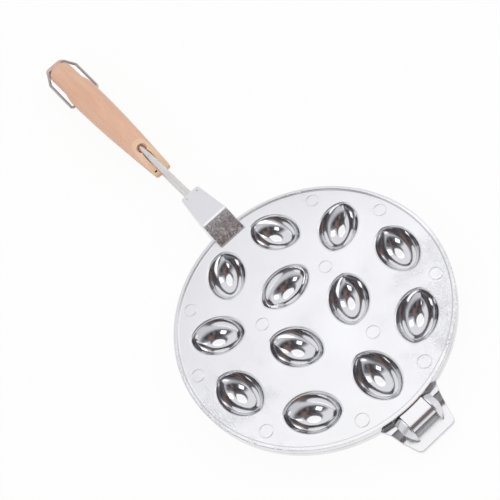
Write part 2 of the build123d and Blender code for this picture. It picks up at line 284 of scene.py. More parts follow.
def round_edges(
    piece: Piece, width: float, segments: int = 3, sharper_than: float = 30.0
) -> None:
    """Round the sharp edges of a piece.

    Args:
        piece: The piece.
        width: Width of the rounding.
        segments: How many faces it is made of.
        sharper_than: Angle in degrees from which an edge is rounded.
    """
    apply_modifier(
        piece,
        "BEVEL",
        width=width,
        segments=segments,
        limit_method="ANGLE",
        angle_limit=math.radians(sharper_than),
        harden_normals=False,
    )


def seat(piece: Piece, name: str, crease: float = 24.0) -> None:
    """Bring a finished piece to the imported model's frame and smooth its shading.

    Args:
        piece: The shaped piece, in millimetres in the mould's frame.
        name: The piece's name.
        crease: Edges sharper than this many degrees stay crisp.
    """
    piece.name = name
    piece.data.name = name
    piece.scale = (MILLIMETRE,) * 3
    piece.location = MOULD_ORIGIN
    settle(piece)
    bpy.ops.object.shade_smooth_by_angle(angle=math.radians(crease))
    apply_modifier(
        piece, "WEIGHTED_NORMAL", mode="FACE_AREA_WITH_ANGLE", weight=60, keep_sharp=True
    )


def block(low: Point, high: Point) -> Piece:
    """Add a closed block between two opposite corners.

    Args:
        low: The corner with the lowest coordinates.
        high: The corner with the highest ones.

    Returns:
        The block.
    """
    bpy.ops.mesh.primitive_cube_add(
        size=1.0,
        location=[(a + b) / 2 for a, b in zip(low, high)],
        scale=[b - a for a, b in zip(low, high)],
    )
    return new_piece()


def bar(radius: float, start: Point, end: Point, sides: int = 48) -> Piece:
    """Add a closed round bar that runs along X or along Y.

    Args:
        radius: Its radius.
        start: Middle of its first end.
        end: Middle of its last end, at the same height.
        sides: How many sides it has.

    Returns:
        The bar.
    """
    along_x = start[1] == end[1]
    bpy.ops.mesh.primitive_cylinder_add(
        vertices=sides,
        radius=radius,
        depth=end[0] - start[0] if along_x else end[1] - start[1],
        location=[(a + b) / 2 for a, b in zip(start, end)],
        rotation=(0, math.pi / 2, 0) if along_x else (math.pi / 2, 0, 0),
    )
    return new_piece()


# ---- plates ----
@dataclass(frozen=True)
class NutPlace:
    """Where one nut lies on the plates."""

    share: float  # of the plate's radius
    angle: float  # from the handle
    turn: float  # of the long axis from the handle


def nut_places() -> list[NutPlace]:
    """Every nut, mirrored in the handle's plane.

    Returns:
        The twelve places.
    """
    middle = [NutPlace(0.278, 0.0, 90.0), NutPlace(0.69, 180.0, 0.0)]
    sides = [
        NutPlace(0.278, 119.0, 30.0),
        NutPlace(0.72, 19.2, -28.0),
        NutPlace(0.677, 58.7, 52.0),
        NutPlace(0.742, 98.0, 10.0),
        NutPlace(0.74, 140.4, 49.0),
    ]
    mirrored = [NutPlace(p.share, -p.angle, -p.turn) for p in sides]
    return middle + sides + mirrored


@dataclass(frozen=True)
class DishEdge:
    """How a nut's bowl meets the flat face that it sinks into."""

    plane: float  # height of the face
    blend: float  # radius of the rounded edge
    rim: float  # width of the flat rim round it


@dataclass
class Plate:
    """What both cast plates share: a disc, a raised lip and twelve nuts."""

    radius: float = 100.0
    face_height: float = 3.5
    floor_radius: float = 96.0  # of the flat face inside the lip
    seam_radius: float = 99.6  # of the flat face at the parting plane
    # (radius, height) of the lip and the outer side, between those two faces
    lip: Profile = (
        (96.45, 3.53),
        (96.85, 3.7),
        (97.05, 4.1),
        (97.12, 4.5),
        (97.3, 4.82),
        (97.7, 5.0),
        (99.3, 5.0),
        (99.75, 4.88),
        (99.97, 4.5),
        (100.0, 4.0),
        (100.0, 0.5),
        (99.88, 0.25),
    )
    round_points: int = 192
    nut_half_length: float = 20.0
    nut_radius: float = 16.0
    keel_offset: float = 2.0
    nut_centre: float = 5.5  # height over the parting plane
    nut_segments: int = 96
    dish_steps: int = 5
    # where the keel starts to fade and where it is gone, in shares of the nut's half length
    keel_fade: tuple[float, float] = (0.8, 0.2)

    def edge_profile(self) -> list[tuple[float, float]]:
        """(radius, height) of the upper plate's edge, from its face to the parting plane."""
        first, last = (self.floor_radius, self.face_height), (self.seam_radius, HALF_GAP)
        return [first, *self.lip, last]

    def dish(self, extra: float, edge: DishEdge) -> Piece:
        """Shape the open bowl of one nut, its rounded edge and a flat rim round it.

        Args:
            extra: How far the bowl is grown from the bare nut.
            edge: How it meets the flat face.

        Returns:
            The open bowl, its long axis along X.
        """
        reach = self.nut_radius + extra
        bpy.ops.mesh.primitive_uv_sphere_add(
            segments=self.nut_segments,
            ring_count=self.nut_segments // 2,
            radius=1.0,
            location=(0, -self.keel_offset, self.nut_centre),
            rotation=(0, math.pi / 2, 0),
            scale=(reach, reach, self.nut_half_length + extra),
        )
        bowl = new_piece()
        edit(bowl, everything=True)
        bpy.ops.mesh.bisect(plane_co=(0, 0, 0), plane_no=(0, 1, 0), clear_inner=True)
        leave()
        self.fade_keel(bowl, extra)
        edit(bowl, everything=True)
        cut = edge.plane - edge.blend
        bpy.ops.mesh.bisect(plane_co=(0, 0, cut), plane_no=(0, 0, 1), clear_outer=True)
        leave()
        apply_modifier(bowl, "MIRROR", use_axis=(False, True, False), merge_threshold=0.001)
        edit(bowl)
        pick_open_edges(bowl)
        mesh = bmesh.from_edit_mesh(bowl.data)
        mouth = [v.co for v in mesh.verts if v.select]
        half_x = max(abs(p.x) for p in mouth)
        half_y = max(abs(p.y) for p in mouth)
        steps = [(0.0, 0.0)]  # (out, up) from the cut
        for step in range(1, self.dish_steps + 1):
            turn = math.pi / 2 * step / self.dish_steps
            steps.append((edge.blend * (1 - math.cos(turn)), edge.blend * math.sin(turn)))
        steps.append((edge.blend + edge.rim, edge.blend))
        for (out, up), (next_out, next_up) in zip(steps, steps[1:]):
            extrude((0, 0, next_up - up))
            factors = [(half + next_out) / (half + out) for half in (half_x, half_y)]
            stretch((*factors, 1))
        leave()
        return bowl

    def fade_keel(self, half: Piece, extra: float) -> None:
        """Round the keel of half a nut away towards its blunt end, at -X.

        Args:
            half: The +Y half of a nut, whose round section is struck past the middle.
            extra: How far it is grown from the bare nut.
        """
        full_radius = self.nut_radius + extra
        reach = self.nut_half_length + extra
        sharp_x, blunt_x = (share * reach for share in self.keel_fade)
        for vert in half.data.vertices:
            share = min(1.0, max(0.0, (sharp_x - vert.co.x) / (sharp_x - blunt_x)))
            share *= share * (3 - 2 * share)
            round_radius = full_radius * math.sqrt(max(0.0, 1 - (vert.co.x / reach) ** 2))
            depth = self.nut_centre - vert.co.z
            if share == 0.0 or depth <= 0.0 or round_radius <= self.keel_offset:
                continue
            keel_turn = math.asin(self.keel_offset / round_radius)
            turn = math.atan2(vert.co.y + self.keel_offset, depth)
            even_turn = (turn - keel_turn) * (math.pi / 2) / (math.pi / 2 - keel_turn)
            even_y = (round_radius - self.keel_offset) * math.sin(even_turn)
            even_depth = round_radius * math.cos(keel_turn) * math.cos(even_turn)
            if vert.co.y > 1e-4:
                vert.co.y += share * (even_y - vert.co.y)
            vert.co.z -= share * (even_depth - depth)

    def at_places(self, pattern: Piece) -> list[Piece]:
        """Copy a nut shape to each of the twelve places, and throw the pattern away.

        Args:
            pattern: The shape, in the middle of the plate with its long axis along X.

        Returns:
            The copies.
        """
        copies = []
        for place in nut_places():
            copy = copy_of(pattern)
            angle = math.radians(place.angle)
            reach = place.share * self.radius
            copy.location = (reach * math.cos(angle), reach * math.sin(angle), 0)
            copy.rotation_euler = (0, 0, math.radians(place.turn))
            copies.append(settle(copy))
        bpy.data.objects.remove(pattern)
        return copies

    def circle(self, radius: float, height: float) -> Piece:
        """Add an empty ring of edges round the plate's axis.

        Args:
            radius: Its radius.
            height: Its height.

        Returns:
            The ring.
        """
        bpy.ops.mesh.primitive_circle_add(
            vertices=self.round_points, radius=radius, location=(0, 0, height)
        )
        return new_piece()

    def flat_between(self, parts: Sequence[Piece], radius: float, height: float) -> Piece:
        """Fill a flat round face between bowls and marks.

        Args:
            parts: The bowls and marks, open at the face.
            radius: Radius of the face.
            height: Height of the face.

        Returns:
            The face and its parts as one open mesh.
        """
        sheet = join_meshes([*parts, self.circle(radius, height)])
        edit(sheet)
        pick_open_edges(sheet, height)
        bpy.ops.mesh.fill(use_beauty=True)
        leave()
        return sheet

    def edge_ring(self, profile: Profile) -> Piece:
        """Turn the plate's edge from a profile.

        Args:
            profile: (radius, height) of each ring.

        Returns:
            The edge, open at both ends.
        """
        ring = self.circle(*profile[0])
        edit(ring, everything=True)
        sweep_ring(profile)
        leave()
        return ring


@dataclass
class UpperPlate(Plate):
    """The punch plate, with its lug, hinge block and ejector marks."""

    hollow_edge: DishEdge = DishEdge(3.5, 1.7, 0.5)
    punch_edge: DishEdge = DishEdge(HALF_GAP, 0.9, 0.3)
    punch_wall: float = 2.3
    mark_radius: float = 5.0
    # (share of the radius, height over the face) of the groove round a mark
    mark_groove: Profile = ((1.0, 0.0), (0.96, -0.2), (0.91, -0.2), (0.87, -0.04))
    # (distance from the middle, angle from the handle) of the ejector marks
    paired_marks: tuple[tuple[float, float], ...] = (
        (89.0, 42.0),
        (89.0, 76.0),
        (89.0, 120.0),
        (89.0, 162.0),
        (34.5, 60.0),
    )
    single_mark: tuple[float, float] = (48.4, -157.0)

    def marks(self) -> list[tuple[float, float]]:
        """Where every ejector mark lies.

        Returns:
            (distance from the middle, angle from the handle) of each.
        """
        sides = (1, -1)
        pairs = [(reach, side * angle) for reach, angle in self.paired_marks for side in sides]
        return [*pairs, self.single_mark]

    def mark(self, reach: float, angle: float) -> Piece:
        """Shape a shallow round mark.

        Args:
            reach: Its distance from the plate's middle.
            angle: Its angle from the handle, in degrees.

        Returns:
            The mark, open at its edge.
        """
        x = reach * math.cos(math.radians(angle))
        y = reach * math.sin(math.radians(angle))
        bpy.ops.mesh.primitive_circle_add(
            vertices=40, radius=self.mark_radius, location=(x, y, self.face_height)
        )
        mark = new_piece()
        edit(mark, everything=True)
        sweep_ring(self.mark_groove, (x, y, self.face_height))
        bpy.ops.mesh.edge_face_add()
        leave()
        return mark

    def build(self) -> Piece:
        """Shape the whole plate as one casting.

        Returns:
            The closed plate, in place.
        """
        top_parts = self.at_places(self.dish(0.0, self.hollow_edge))
        top_parts += [self.mark(reach, angle) for reach, angle in self.marks()]
        top = self.flat_between(top_parts, self.floor_radius, self.face_height)
        low_parts = self.at_places(self.dish(self.punch_wall, self.punch_edge))
        low = self.flat_between(low_parts, self.seam_radius, HALF_GAP)
        plate = join_meshes([top, low, self.edge_ring(self.edge_profile())])
        weld(plate)
        combine(plate, HandleLug().build(), Join.ADD)
        combine(plate, Hinge().knuckle(), Join.ADD)
        return plate


@dataclass
class LowerPlate(Plate):
    """The cavity plate, with its lug, hinge tab and bulges."""

    bulge_edge: DishEdge = DishEdge(-0.6, 0.01, 0.0)
    cavity_edge: DishEdge = DishEdge(0.02 - HALF_GAP, 0.5, 0.3)
    cavity_growth: float = 5.0
    bulge_growth: float = 7.5
    crown_height: float = -17.5147  # the ground crowns that the mould stands on
    wrinkle_scale: float = 4.6
    wrinkle_depth: float = 1.1
    wrinkle_top: float = -2.0  # height under which the cavities are wrinkled

    def disc(self) -> Piece:
        """The flat disc with its lip, before the nuts are added and cut.

        Returns:
            The closed disc.
        """
        edge = self.edge_ring([(r, -z) for r, z in reversed(self.edge_profile())])
        edit(edge)
        for level in (-HALF_GAP, -self.face_height):
            pick_open_edges(edge, level)
            bpy.ops.mesh.edge_face_add()
        leave()
        weld(edge)
        return edge

    def bulge(self) -> Piece:
        """One closed nut bulge, ground flat at its crown.

        Returns:
            The bulge, in the middle of the plate.
        """
        bulge = self.dish(self.bulge_growth, self.bulge_edge)
        edit(bulge, everything=True)
        bpy.ops.mesh.bisect(
            plane_co=(0, 0, self.crown_height),
            plane_no=(0, 0, 1),
            clear_inner=True,
            use_fill=True,
        )
        pick_open_edges(bulge)
        bpy.ops.mesh.edge_face_add()
        leave()
        weld(bulge)
        return bulge

    def cavity(self) -> Piece:
        """The closed shape of one cavity, with a nutshell's relief on it.

        Returns:
            The cutter, in the middle of the plate.
        """
        nut = self.dish(self.cavity_growth, self.cavity_edge)
        wrinkles = bpy.data.textures.new("nutshell", "CLOUDS")
        wrinkles.noise_scale = self.wrinkle_scale
        wrinkles.noise_depth = 1
        wrinkles.noise_type = "HARD_NOISE"
        edit(nut)
        pick(nut, Pick.VERTS, lambda place, normal: place.z < self.wrinkle_top)
        group = nut.vertex_groups.new(name="shell")
        bpy.ops.object.vertex_group_assign()
        leave()
        apply_modifier(
            nut,
            "DISPLACE",
            texture=wrinkles,
            texture_coords="LOCAL",
            strength=self.wrinkle_depth,
            mid_level=0.6,
            vertex_group=group.name,
        )
        edit(nut)
        pick_open_edges(nut)
        extrude((0, 0, 1.0))
        bpy.ops.mesh.edge_face_add()
        leave()
        weld(nut)
        return nut

    def build(self) -> Piece:
        """Shape the whole plate as one casting.

        Returns:
            The closed plate, in place.
        """
        plate = self.disc()
        for bulge in self.at_places(self.bulge()):
            combine(plate, bulge, Join.ADD)
        lug, hinge = HandleLug().build(), Hinge()
        mirror(lug, Plane.PARTING)
        combine(plate, lug, Join.ADD)
        combine(plate, hinge.tab(), Join.ADD)
        combine(plate, hinge.knuckle_room(), Join.CUT)
        for side in (1, -1):
            combine(plate, hinge.ear(side), Join.ADD)
        for cavity in self.at_places(self.cavity()):
            combine(plate, cavity, Join.CUT)
        return plate


# ---- lugs and hinge ----
@dataclass
class HandleLug:
    """The tapering block that holds a rod."""

    foot_x: float = 88.0
    shoulder_x: float = 108.0
    end_x: float = 141.0
    foot_width: float = 24.0
    shoulder_width: float = 23.0
    end_width: float = 17.0
    height: float = 13.0
    foot_height: float = 3.3
    corner_round: float = 2.0
    edge_round: float = 1.0
    # the two small pits in its top
    pit_radius: float = 1.6
    pit_inset: float = 4.2
    pit_side: float = 5.0
    pit_lift: float = 1.1  # of the pit's centre over the top

    def build(self) -> Piece:
        """Shape the upper plate's lug.

        Returns:
            The closed lug, in place.
        """
        half_width = self.foot_width / 2
        lug = block(
            (self.foot_x, -half_width, HALF_GAP), (self.end_x, half_width, self.height)
        )
        edit(lug)
        add_sections([self.shoulder_x])
        for x, width in (
            (self.shoulder_x, self.shoulder_width),
            (self.end_x, self.end_width),
        ):
            pick(lug, Pick.VERTS, lambda place, normal, x=x: abs(place.x - x) < 0.1)
            stretch((1, width / self.foot_width, 1))
        pick(
            lug,
            Pick.VERTS,
            lambda place, normal: place.x < self.foot_x + 0.1 and place.z > self.height - 0.1,
        )
        bpy.ops.transform.translate(value=(0, 0, self.foot_height - self.height))
        pick(
            lug,
            Pick.EDGES,
            lambda middle, run: middle.x > self.end_x - 0.1 and abs(run.z) > 5.0,
        )
        bpy.ops.mesh.bevel(offset=self.corner_round, segments=5, affect="EDGES")
        leave()
        round_edges(lug, self.edge_round, 3, 20.0)
        for side in (1, -1):
            bpy.ops.mesh.primitive_uv_sphere_add(
                segments=24,
                ring_count=12,
                radius=self.pit_radius,
                location=(
                    self.end_x - self.pit_inset,
                    side * self.pit_side,
                    self.height + self.pit_lift,
                ),
            )
            combine(lug, new_piece(), Join.CUT)
        return lug


@dataclass(frozen=True)
class EarStation:
    """One section of a hinge ear."""

    x: float
    top: float  # height of its thin top edge
    shoulder: float  # height where its slanted face turns down
    width: float  # at the shoulder
    foot: float  # width at the foot


@dataclass
class Hinge:
    """The knuckle on the upper plate, the tab with its ears on the lower one, and the pin."""

    x: float = -108.4
    height: float = -1.5
    knuckle_radius: float = 4.5
    knuckle_width: float = 18.6
    knuckle_round: float = 0.35
    root_x: float = -97.5
    side_gap: float = 0.3
    round_gap: float = 0.4
    pin_radius: float = 2.0
    pin_gap: float = 0.05
    pin_round: float = 0.3
    ear_width: float = 5.4
    ear_foot: float = -8.4
    ear_round: float = 0.4
    # The ears start outside the upper disc, and inside the sweep of its edge round the pin.
    ear_stations: tuple[EarStation, ...] = (
        EarStation(-99.95, 1.0, -0.6, 5.0, 6.0),
        EarStation(-100.5, 2.4, 0.0, 5.2, 6.2),
        EarStation(-103.0, 3.4, 0.5, 5.5, 6.4),
        EarStation(-106.0, 3.8, 0.7, 5.6, 6.3),
        EarStation(-108.4, 3.7, 0.7, 5.6, 6.1),
        EarStation(-110.6, 2.9, 0.2, 5.3, 5.6),
        EarStation(-112.6, 1.0, -1.4, 4.3, 4.6),
        EarStation(-114.6, -1.8, -3.6, 3.0, 3.3),
        EarStation(-116.4, -4.9, -5.8, 1.9, 2.0),
        EarStation(-117.8, -7.4, -7.9, 1.05, 1.1),
    )
    tab_thickness: float = 3.5
    tab_corner: float = 3.0
    tab_round: float = 0.55
    # (x, width of the tab, height of its upper face)
    tab_stations: tuple[tuple[float, float, float], ...] = (
        (-92.0, 56.0, -1.2),
        (-95.7, 50.6, -1.2),
        (-99.0, 46.4, -1.2),
        (-102.0, 43.5, -1.2),
        (-103.3, 42.4, -1.3),
        (-104.3, 41.7, -1.95),
        (-107.6, 39.6, -5.1),
        (-109.0, 38.7, -6.1),
        (-110.6, 37.7, -6.6),
        (-112.2, 36.7, -6.7),
        (-115.0, 34.9, -6.7),
        (-119.0, 32.5, -6.7),
        (-123.3, 30.0, -6.7),
    )

    def bar_on_axis(self, radius: float, half: float, sides: int = 48) -> Piece:
        """A closed round bar of this radius and half length on the hinge's axis."""
        ends = [(self.x, side * half, self.height) for side in (-1, 1)]
        return bar(radius, *ends, sides)

    def knuckle(self) -> Piece:
        """The block that turns on the pin, with its hole.

        Returns:
            The closed block, in place.
        """
        half = self.knuckle_width / 2
        barrel = self.bar_on_axis(self.knuckle_radius, half, 64)
        top_z = self.height + self.knuckle_radius
        neck = block((self.x, -half, HALF_GAP), (self.root_x, half, top_z))
        combine(barrel, neck, Join.ADD)
        round_edges(barrel, self.knuckle_round, 2, 50.0)
        hole = self.bar_on_axis(self.pin_radius + self.pin_gap, self.knuckle_width)
        combine(barrel, hole, Join.CUT)
        return barrel

    def tab(self) -> Piece:
        """The bent tab, shaped station by station.

        Returns:
            The closed tab, in place.
        """
        first_x, first_width, _ = self.tab_stations[0]
        last_x = self.tab_stations[-1][0]
        half_width = first_width / 2
        tab = block((last_x, -half_width, -self.tab_thickness), (first_x, half_width, 0))
        edit(tab)
        add_sections(x for x, _, _ in self.tab_stations[1:-1])
        for x, width, height in self.tab_stations:
            pick(tab, Pick.VERTS, lambda place, normal, x=x: abs(place.x - x) < 0.05)
            stretch((1, width / first_width, 1))
            bpy.ops.transform.translate(value=(0, 0, height))
        pick(
            tab,
            Pick.EDGES,
            lambda middle, run: middle.x < last_x + 0.1 and abs(run.z) > 1.0,
        )
        bpy.ops.mesh.bevel(offset=self.tab_corner, segments=5, affect="EDGES")
        leave()
        round_edges(tab, self.tab_round, 3, 40.0)
        return tab

    def knuckle_room(self) -> Piece:
        """Cutter for the space that the knuckle turns in."""
        half = self.knuckle_width / 2 + self.side_gap
        return self.bar_on_axis(self.knuckle_radius + self.round_gap, half, 64)

    def ear(self, side: int) -> Piece:
        """One ear: a gusset with a thin top edge, a thick foot and a pointed tail.

        Args:
            side: 1 for the +Y side, -1 for the -Y side.

        Returns:
            The closed ear, in place.
        """
        inner = self.knuckle_width / 2 + self.side_gap
        foot, middle, top = (self.ear_foot + rise for rise in (0.0, 1.0, 2.0))
        outer = inner + 1.0
        first_x, last_x = self.ear_stations[0].x, self.ear_stations[-1].x
        ear = block((last_x, inner, foot), (first_x, outer, top))
        edit(ear, everything=True)
        bpy.ops.mesh.bisect(plane_co=(0, 0, middle), plane_no=(0, 0, 1))
        add_sections(station.x for station in self.ear_stations[1:-1])
        for station in self.ear_stations:
            for from_z, from_y, shift in (
                (top, inner, (0, 0, station.top - top)),
                (middle, inner, (0, 0, station.shoulder - middle)),
                (station.shoulder, outer, (0, station.width - 1.0, 0)),
                (foot, outer, (0, station.foot - 1.0, 0)),
            ):
                pick(
                    ear,
                    Pick.VERTS,
                    lambda place, normal, x=station.x, y=from_y, z=from_z: (
                        abs(place.x - x) < 0.05
                        and abs(place.z - z) < 0.05
                        and place.y > y - 0.1
                    ),
                )
                bpy.ops.transform.translate(value=shift)
        leave()
        if side < 0:
            mirror(ear, Plane.HANDLE)
        weld(ear)
        round_edges(ear, self.ear_round, 3, 35.0)
        return ear

    def pin(self) -> Piece:
        """The pin, flush with the outer faces of the ears.

        Returns:
            The closed pin, in place.
        """
        half = self.knuckle_width / 2 + self.side_gap + self.ear_width
        pin = self.bar_on_axis(self.pin_radius, half)
        round_edges(pin, self.pin_round, 3, 50.0)
        return pin


# ---- handle ----
@dataclass
class Handle:
    """Two rods, two wooden half grips and their brads, each shaped for the upper side."""

    rod_radius: float = 2.5
    rod_height: float = 6.5
    rod_start: float = 118.0
    rod_end: float = 296.0
    rod_round: float = 0.4
    front_x: float = 184.5
    thickness: float = 12.0
    side_height: float = 3.0
    upper_end: float = 351.0
    lower_end: float = 365.0
    scarf_length: float = 34.0
    scarf_foot: float = 2.0
    front_round: float = 2.4
    end_round: float = 5.0
    round_steps: int = 8
    station_step: float = 3.2
    # (radius, start, end) of the groove along the scarf and of the rod's hole
    bores: tuple[tuple[float, float, float], ...] = (
        (3.1, 175.0, 212.0),
        (2.85, 211.0, 222.0),
    )
    bore_round: float = 0.5
    # round sunk mouth in which the rod enters the wood
    mouth_x: float = 210.2
    mouth_height: float = 9.3
    mouth_radius: float = 4.3
    mouth_depth: float = 3.2
    bail_hole_x: float = 312.0
    bail_hole_height: float = -5.5
    bail_hole_radius: float = 1.33
    bail_hole_floor: float = 6.2  # distance of its blind end from the middle
    bail_hole_reach: float = 20.0
    brad_radius: float = 1.4
    brad_head: float = 0.6
    brad_step: float = 0.6  # from the head's radius to the shank's
    brad_end: float = 1.0  # height of the shank's end
    brad_round: float = 0.2
    brad_inset: float = 3.4
    brad_side: float = 4.6
    # (x, width) of the grips
    widths: tuple[tuple[float, float], ...] = (
        (184.5, 14.2),
        (196.0, 15.4),
        (213.0, 17.6),
        (230.0, 19.6),
        (250.0, 21.8),
        (275.0, 23.7),
        (300.0, 24.7),
        (311.0, 24.7),
        (316.0, 24.2),
        (320.0, 21.9),
        (323.0, 20.6),
        (327.0, 20.2),
        (351.0, 20.2),
        (365.0, 20.0),
    )

    def width_at(self, x: float) -> float:
        """Width of a grip between the stated places.

        Args:
            x: The place along the handle.

        Returns:
            The width.
        """
        for (x0, w0), (x1, w1) in zip(self.widths, self.widths[1:]):
            if x <= x1:
                share = max(0.0, (x - x0) / (x1 - x0))
                return w0 + (w1 - w0) * share
        return self.widths[-1][1]

    def stations(self, end_x: float) -> list[tuple[float, float]]:
        """Where a grip's sections stand and how far each is drawn in at a rounded end.

        Args:
            end_x: Where the grip ends.

        Returns:
            (x, inset) from the front to the end.
        """
        rounding = []
        for face_x, inward, radius in (
            (self.front_x, 1, self.front_round),
            (end_x, -1, self.end_round),
        ):
            for step in range(self.round_steps + 1):
                turn = math.pi / 2 * step / self.round_steps
                x = face_x + inward * radius * (1 - math.cos(turn))
                rounding.append((x, radius * (1 - math.sin(turn))))
        first = self.front_x + self.front_round
        last = end_x - self.end_round
        count = round((last - first) / self.station_step)
        middle = [(first + (last - first) * i / count, 0.0) for i in range(1, count)]
        return sorted(rounding + middle)

    def grip(self, end_x: float) -> Piece:
        """Shape one half of the wooden handle, as the upper one.

        Args:
            end_x: Where it ends.

        Returns:
            The closed piece of wood, in place.
        """
        bpy.ops.mesh.primitive_cylinder_add(
            vertices=72,
            radius=1.0,
            depth=end_x - self.front_x,
            location=((self.front_x + end_x) / 2, 0, self.side_height),
            rotation=(0, math.pi / 2, 0),
        )
        grip = new_piece()
        edit(grip, everything=True)
        stretch((1, 1, self.thickness - self.side_height), (0, 0, self.side_height))
        bpy.ops.mesh.bisect(
            plane_co=(0, 0, self.side_height),
            plane_no=(0, 0, 1),
            clear_inner=True,
            use_fill=True,
        )
        pick(grip, Pick.FACES, lambda place, normal: normal.z < -0.9)
        extrude((0, 0, HALF_GAP - self.side_height))
        stations = self.stations(end_x)
        add_sections(x for x, _ in stations[1:-1])
        for x, inset in stations:
            half_width = self.width_at(x) / 2
            share = 1 - inset / half_width
            pick(grip, Pick.VERTS, lambda place, normal, x=x: abs(place.x - x) < 0.01)
            stretch((1, half_width * share, share), (0, 0, HALF_GAP))
        leave()
        weld(grip)
        combine(grip, self.scarf_cutter(), Join.CUT)
        for radius, start, stop in self.bores:
            bore = bar(radius, (start, 0, self.rod_height), (stop, 0, self.rod_height), 56)
            round_edges(bore, self.bore_round)
            combine(grip, bore, Join.CUT)
        bpy.ops.mesh.primitive_uv_sphere_add(
            segments=48,
            ring_count=24,
            radius=self.mouth_radius,
            location=(self.mouth_x, 0, self.mouth_height),
            scale=(1.0, 1.0, self.mouth_depth / self.mouth_radius),
        )
        combine(grip, new_piece(), Join.CUT)
        return grip

    def lower_grip(self) -> Piece:
        """The lower half, with the blind holes that the bail turns in.

        Returns:
            The closed piece of wood, in place.
        """
        grip = self.grip(self.lower_end)
        mirror(grip, Plane.PARTING)
        for side in (1, -1):
            ends = sorted((side * self.bail_hole_floor, side * self.bail_hole_reach))
            points = [(self.bail_hole_x, y, self.bail_hole_height) for y in ends]
            combine(grip, bar(self.bail_hole_radius, *points, 24), Join.CUT)
        return grip

    def scarf_level(self, distance: float) -> float:
        """Height of the slanted cut at a distance from the front."""
        slope = (self.thickness - self.scarf_foot) / self.scarf_length
        return self.scarf_foot + distance * slope

    def scarf_cutter(self) -> Piece:
        """Block over the slanted front of a grip.

        Returns:
            The cutter, in place.
        """
        over, half_width, height = 6.0, 20.0, 20.0
        middle_x = self.front_x + self.scarf_length / 2
        cutter = block(
            (self.front_x - over, -half_width, self.thickness),
            (self.front_x + self.scarf_length + over, half_width, self.thickness + height),
        )
        edit(cutter)
        for end, distance in ((-1, -over), (1, self.scarf_length + over)):
            pick(
                cutter,
                Pick.VERTS,
                lambda place, normal, end=end: place.z < self.thickness + 0.1
                and end * (place.x - middle_x) > 0,
            )
            rise = self.scarf_level(distance) - self.thickness
            bpy.ops.transform.translate(value=(0, 0, rise))
        leave()
        weld(cutter)
        return cutter

    def rod(self, side: int) -> Piece:
        """One round rod with softened ends.

        Args:
            side: 1 for the upper rod, -1 for the lower one.

        Returns:
            The closed rod, in place.
        """
        height = side * self.rod_height
        ends = [(x, 0, height) for x in (self.rod_start, self.rod_end)]
        rod = bar(self.rod_radius, *ends, 40)
        round_edges(rod, self.rod_round)
        return rod

    def brad(self) -> Piece:
        """The head and shank of the upper grip's brad.

        Returns:
            The closed brad, in place.
        """
        top = self.scarf_level(self.brad_inset)
        bpy.ops.mesh.primitive_cylinder_add(
            vertices=24,
            radius=self.brad_radius,
            depth=self.brad_head,
            location=(
                self.front_x + self.brad_inset,
                self.brad_side,
                top - self.brad_head / 2,
            ),
        )
        brad = new_piece()
        edit(brad)
        pick(brad, Pick.FACES, lambda place, normal: normal.z < -0.9)
        bpy.ops.mesh.inset(thickness=self.brad_step)
        extrude((0, 0, self.brad_end + self.brad_head - top))
        leave()
        round_edges(brad, self.brad_round, 3, 50.0)
        return brad

    def lower_brad(self) -> Piece:
        """The brad of the lower grip.

        Returns:
            The closed brad, in place.
        """
        brad = self.brad()
        mirror(brad, Plane.PARTING)
        return brad


@dataclass
class LockBail:
    """The bent wire that locks the handle."""

    wire_radius: float = 1.25
    pivot_x: float = 312.0
    pivot_height: float = -5.5
    half_width: float = 14.8
    leg: float = 34.0
    length: float = 46.4
    bar_half_width: float = 8.8
    bend: float = 2.6
    end_depth: float = 6.4
    tilt: float = 9.446
    sides: int = 24

    def corners(self) -> list[Vector]:
        """The wire's centre line, flat, with the pivot at the origin.

        Returns:
            Its corners and ends, in order.
        """
        right = [
            (0.0, -self.end_depth),
            (0.0, -self.half_width),
            (self.leg, -self.half_width),
            (self.length, -self.bar_half_width),
        ]
        left = [(x, -y) for x, y in reversed(right)]
        return [Vector((x, y, 0.0)) for x, y in right + left]

    def build(self) -> Piece:
        """Push a round section along the line, bending it at each corner.

        Returns:
            The closed wire, in place.
        """
        points = self.corners()
        run = (points[1] - points[0]).normalized()
        bpy.ops.mesh.primitive_circle_add(
            vertices=self.sides,
            radius=self.wire_radius,
            fill_type="NGON",
            location=points[0],
            rotation=(math.pi / 2, 0, 0),
        )
        wire = new_piece()
        edit(wire, everything=True)
        here = points[0]
        for corner, after in zip(points[1:-1], points[2:]):
            next_run = (after - corner).normalized()
            turn = run.angle(next_run)
            setback = self.bend * math.tan(turn / 2)
            extrude(corner - run * setback - here)
            left_turn = run.cross(next_run).z > 0
            sideways = Vector((-run.y, run.x, 0)) * (1 if left_turn else -1)
            bpy.ops.mesh.spin(
                steps=max(3, round(math.degrees(turn) / 10)),
                angle=turn,
                center=corner - run * setback + sideways * self.bend,
                axis=(0, 0, -1 if left_turn else 1),
            )
            here = corner + next_run * setback
            run = next_run
        extrude(points[-1] - here)
        leave()
        weld(wire)
        wire.rotation_euler = (0, -math.radians(self.tilt), 0)
        wire.location = (self.pivot_x, 0, self.pivot_height)
        return settle(wire)


